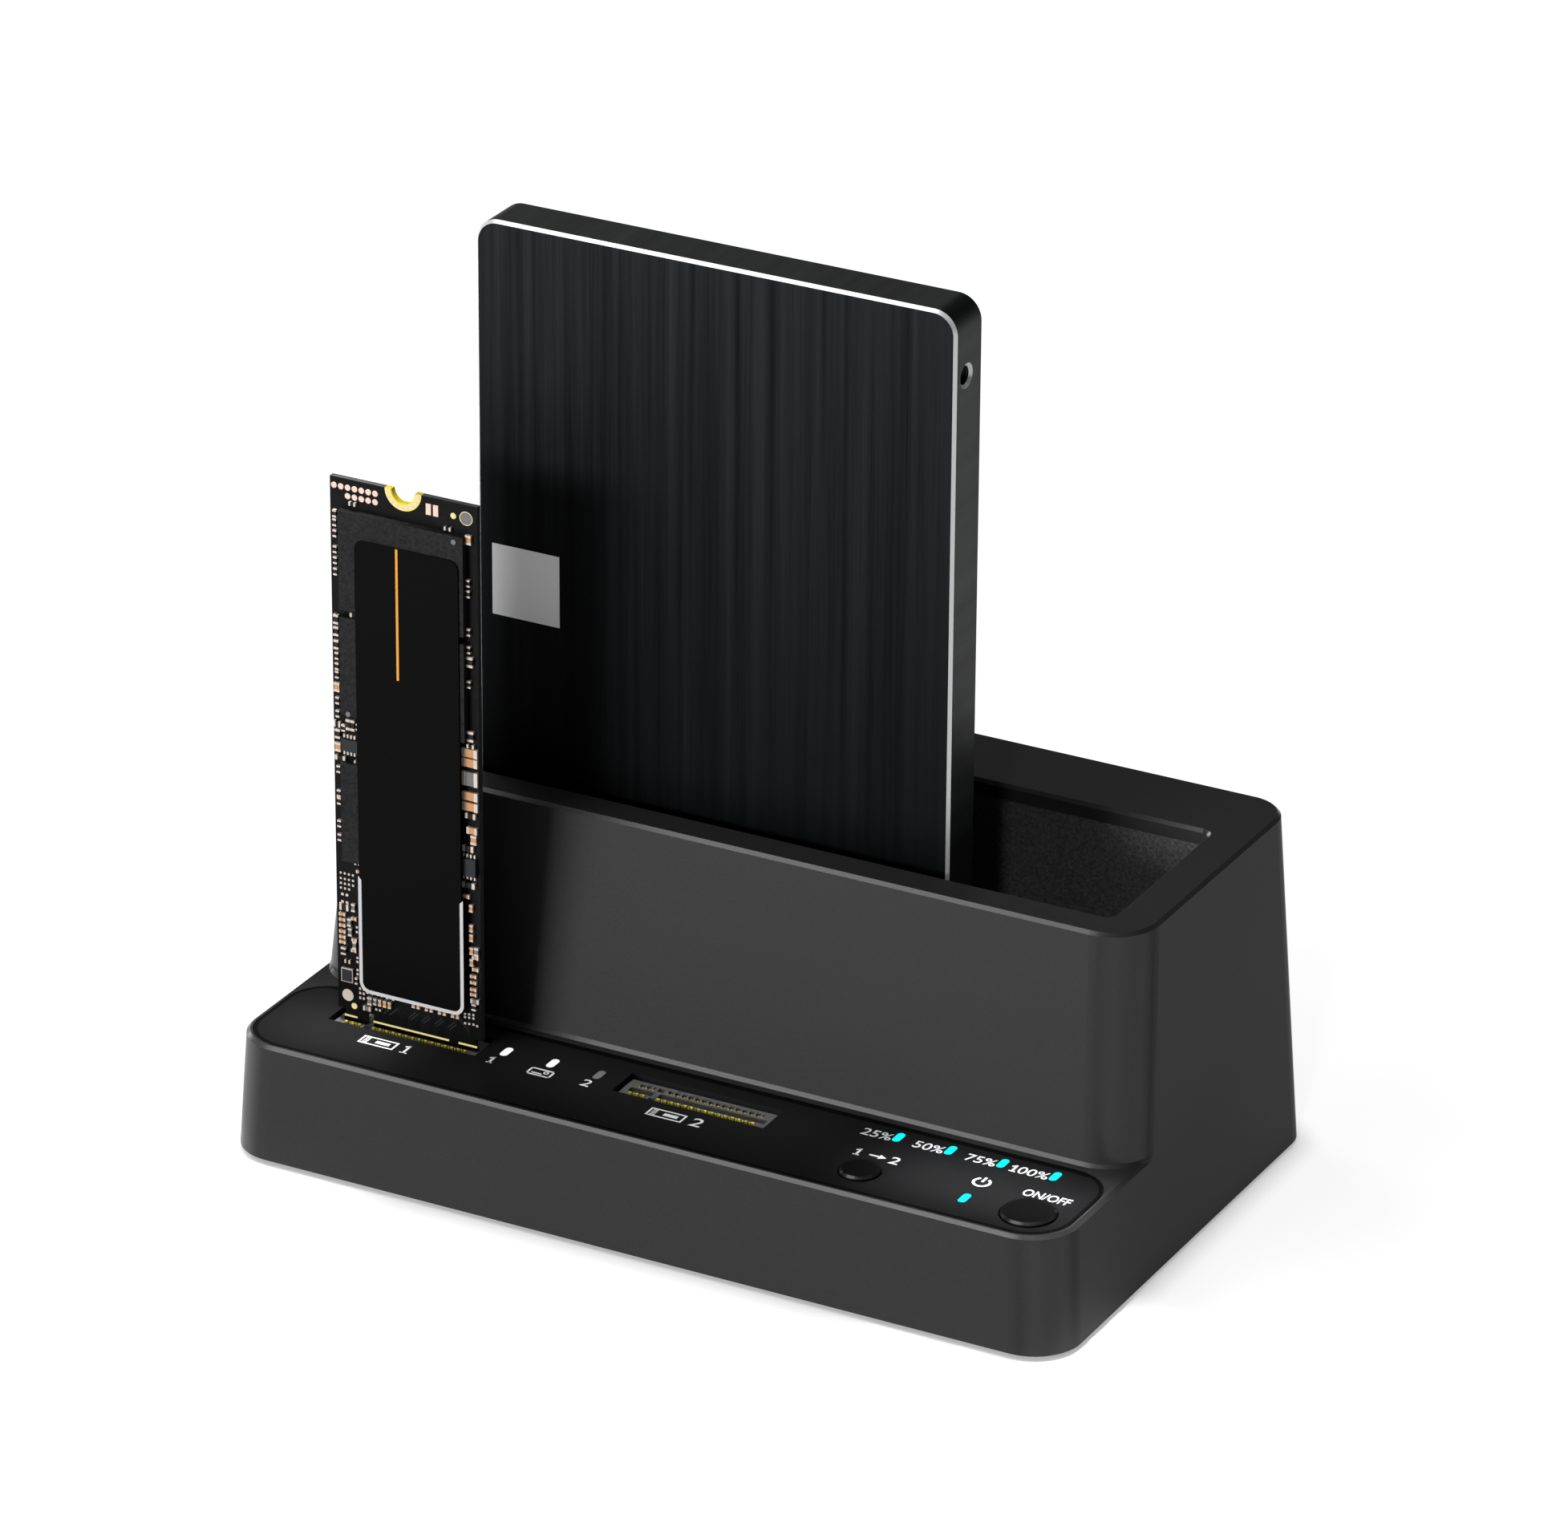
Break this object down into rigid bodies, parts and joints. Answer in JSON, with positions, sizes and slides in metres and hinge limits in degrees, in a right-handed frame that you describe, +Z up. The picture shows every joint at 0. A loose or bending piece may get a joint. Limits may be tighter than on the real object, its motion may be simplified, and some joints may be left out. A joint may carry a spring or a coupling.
{
  "type": "drive duplicator",
  "caption": "Desktop drive duplicator: low deck with card slots, round buttons and indicator lights in front of a tapered tower with a drive bay, holding an upright drive and a flash card.",
  "frame": {"origin": "on the desk, under the middle of the housing's bottom rim", "axes": "+X runs to the right along the deck as seen from the front, +Y from the deck to the back of the tower, +Z up along the drive and the card"},
  "size_m": [0.1242, 0.0758, 0.1264],
  "materials": {
    "housing_plastic": "fine-grained matte charcoal moulding",
    "cover_plastic": "matte black moulding",
    "bay_plastic": "coarse-grained matte black moulding",
    "panel_plastic": "satin black moulding",
    "foot_rubber": "matte black rubber",
    "screw_steel": "dark zinc-plated steel",
    "circuit_board": "solder-masked green glass-fibre board",
    "card_mask": "solder-masked near-black glass-fibre board",
    "socket_plastic": "moulded black socket",
    "contact_gold": "gold-plated contact",
    "ring_copper": "plated copper ring",
    "lit_white": "clear bar lit white",
    "lit_cyan": "clear bar lit pale cyan",
    "unlit_grey": "clear bar, unlit",
    "lamp": "light-emitting diode package",
    "chip_black": "moulded black package",
    "card_label": "dark printed label",
    "card_part": "ceramic chip part",
    "capacitor_can": "bare aluminium can",
    "spreader_metal": "dark anodised fins",
    "port_steel": "drawn steel shell",
    "drive_metal": "brushed near-black case",
    "sticker_grey": "small pale grey square"
  },
  "bodies": {
    "dock": {"upper_housing": "housing_plastic", "deck_panel": "panel_plastic", "bottom_cover": "cover_plastic", "rubber_feet": "foot_rubber", "bay_tray": "bay_plastic", "main_board": "circuit_board", "riser_board": "circuit_board", "sata_socket": "socket_plastic", "sata_contacts": "contact_gold", "card_socket_1": "socket_plastic", "card_socket_2": "socket_plastic", "card_contacts_1": "contact_gold", "card_contacts_2": "contact_gold", "lit_status_guides": "lit_white", "idle_status_guide": "unlit_grey", "progress_guides": "lit_cyan", "power_guide": "lit_cyan", "status_guide_frame": "socket_plastic", "progress_guide_frame": "socket_plastic", "power_guide_frame": "socket_plastic", "indicator_leds": "lamp", "capacitors": "capacitor_can", "inductors": "chip_black", "clone_switch_body": "socket_plastic", "power_switch_body": "socket_plastic", "power_inlet": "socket_plastic", "power_inlet_pin": "port_steel", "data_port": "port_steel", "data_port_tongue": "socket_plastic", "bridge_chip": "chip_black", "heat_spreader": "spreader_metal", "link_header": "socket_plastic", "link_receptacle": "socket_plastic", "housing_screws": "screw_steel", "board_screws": "screw_steel", "tray_screws": "screw_steel", "riser_screws": "screw_steel"},
    "clone_key": {"clone_button": "housing_plastic", "clone_switch_plunger": "chip_black"},
    "power_key": {"power_button": "housing_plastic", "power_switch_plunger": "chip_black"},
    "drive": {"drive_case": "drive_metal", "drive_lid": "drive_metal", "drive_plug": "socket_plastic", "drive_board": "circuit_board", "drive_chips": "chip_black", "drive_sticker": "sticker_grey"},
    "card": {"card_board": "card_mask", "card_ring": "ring_copper", "card_fingers": "contact_gold", "card_chips": "chip_black", "card_label": "card_label", "card_passives": "card_part"}
  },
  "joints": [
    {"name": "clone_press", "type": "slide", "parent": "dock", "child": "clone_key", "axis": [0, 0, -1], "range_m": [0, 0.0008], "stiffness_N_per_m": 1200, "springref_m": -0.0004},
    {"name": "power_press", "type": "slide", "parent": "dock", "child": "power_key", "axis": [0, 0, -1], "range_m": [0, 0.0008], "stiffness_N_per_m": 1200, "springref_m": -0.0004},
    {"name": "drive_lift", "type": "slide", "parent": "dock", "child": "drive", "axis": [0, 0, 1], "range_m": [0, 0.05]},
    {"name": "card_lift", "type": "slide", "parent": "dock", "child": "card", "axis": [0, 0, 1], "range_m": [0, 0.03]}
  ]
}
